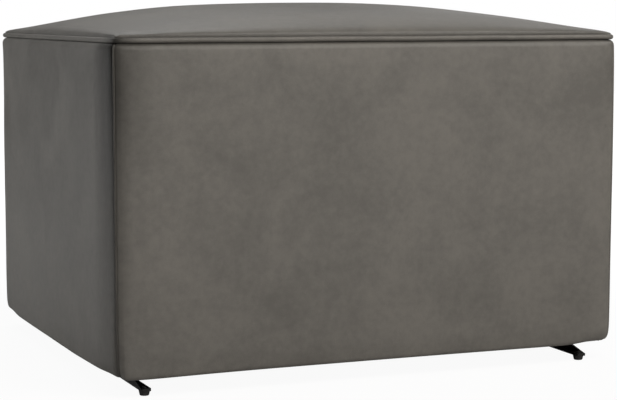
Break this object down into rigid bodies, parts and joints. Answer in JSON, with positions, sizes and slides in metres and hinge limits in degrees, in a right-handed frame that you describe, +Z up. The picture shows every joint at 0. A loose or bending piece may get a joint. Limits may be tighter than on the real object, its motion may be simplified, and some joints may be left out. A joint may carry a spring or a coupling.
{
  "type": "glider ottoman",
  "caption": "Upholstered leather footstool box with a crowned seat that glides on swing links hidden inside its skirt, on two low floor rails.",
  "frame": {"origin": "on the floor, under the middle of the box", "axes": "+X to the right along the wide front, +Y to the back, +Z up"},
  "size_m": [0.61, 0.525, 0.4203],
  "materials": {
    "leather": "soft semi-matte grey leather with fine grain and cloudy mottling",
    "black_steel": "black powder coat, satin",
    "zinc_steel": "bright zinc plating",
    "nylon": "natural nylon",
    "rubber": "matte black rubber",
    "glide_plastic": "dark grey moulded plastic",
    "hardwood": "planed hardwood, bare",
    "plywood": "bare plywood",
    "webbing": "woven jute webbing",
    "dust_cloth": "black non-woven cloth",
    "foam": "open-cell upholstery foam"
  },
  "bodies": {
    "base": {"floor_rail_left": "black_steel", "floor_rail_right": "black_steel", "front_cross_tube": "black_steel", "rear_cross_tube": "black_steel", "cross_tube_screws": "zinc_steel", "tie_bar_left": "black_steel", "tie_bar_right": "black_steel", "stop_bumpers": "rubber", "post_rivets": "zinc_steel", "glides": "glide_plastic", "upper_pivot_bolts": "zinc_steel", "upper_pivot_spacers": "zinc_steel", "upper_pivot_nuts": "zinc_steel", "post_front_left": "black_steel", "post_front_right": "black_steel", "post_rear_left": "black_steel", "post_rear_right": "black_steel"},
    "link_front_left": {"link_front_left": "black_steel", "bearings_front_left": "nylon"},
    "link_front_right": {"link_front_right": "black_steel", "bearings_front_right": "nylon"},
    "link_rear_left": {"link_rear_left": "black_steel", "bearings_rear_left": "nylon"},
    "link_rear_right": {"link_rear_right": "black_steel", "bearings_rear_right": "nylon"},
    "ottoman": {"back_board": "plywood", "back_cover": "leather", "back_padding": "foam", "carriage_rail_left": "black_steel", "carriage_rail_right": "black_steel", "carriage_screws": "zinc_steel", "corner_posts": "hardwood", "corner_welts": "leather", "dust_cover": "dust_cloth", "front_board": "plywood", "front_cover": "leather", "front_padding": "foam", "hanger_front_left": "black_steel", "hanger_front_right": "black_steel", "hanger_rear_left": "black_steel", "hanger_rear_right": "black_steel", "hanger_rivets": "zinc_steel", "left_board": "plywood", "left_cover": "leather", "left_padding": "foam", "lower_pivot_bolts": "zinc_steel", "lower_pivot_nuts": "zinc_steel", "lower_pivot_spacers": "zinc_steel", "mount_rail_front": "hardwood", "mount_rail_rear": "hardwood", "right_board": "plywood", "right_cover": "leather", "right_padding": "foam", "seat_foam": "foam", "top_cover": "leather", "top_welt": "leather", "webbing_crosswise": "webbing", "webbing_lengthwise": "webbing"}
  },
  "joints": [
    {"name": "glide", "type": "hinge", "parent": "base", "child": "link_front_left", "pos_m": [-0.2555, -0.095, 0.187], "axis": [1, 0, 0], "range_deg": [-26, 26]},
    {"name": "swing_front_right", "type": "hinge", "parent": "base", "child": "link_front_right", "pos_m": [0.2555, -0.095, 0.187], "axis": [1, 0, 0], "range_deg": [-26, 26]},
    {"name": "swing_rear_left", "type": "hinge", "parent": "base", "child": "link_rear_left", "pos_m": [-0.2555, 0.095, 0.187], "axis": [1, 0, 0], "range_deg": [-26, 26]},
    {"name": "swing_rear_right", "type": "hinge", "parent": "base", "child": "link_rear_right", "pos_m": [0.2555, 0.095, 0.187], "axis": [1, 0, 0], "range_deg": [-26, 26]},
    {"name": "box_level", "type": "hinge", "parent": "link_front_left", "child": "ottoman", "pos_m": [-0.2555, -0.095, 0.052], "axis": [1, 0, 0], "range_deg": [-26, 26]}
  ],
  "couplings": [
    {"joint": "swing_front_right", "follows": "glide", "ratio": 1},
    {"joint": "swing_rear_left", "follows": "glide", "ratio": 1},
    {"joint": "swing_rear_right", "follows": "glide", "ratio": 1},
    {"joint": "box_level", "follows": "glide", "ratio": -1}
  ]
}
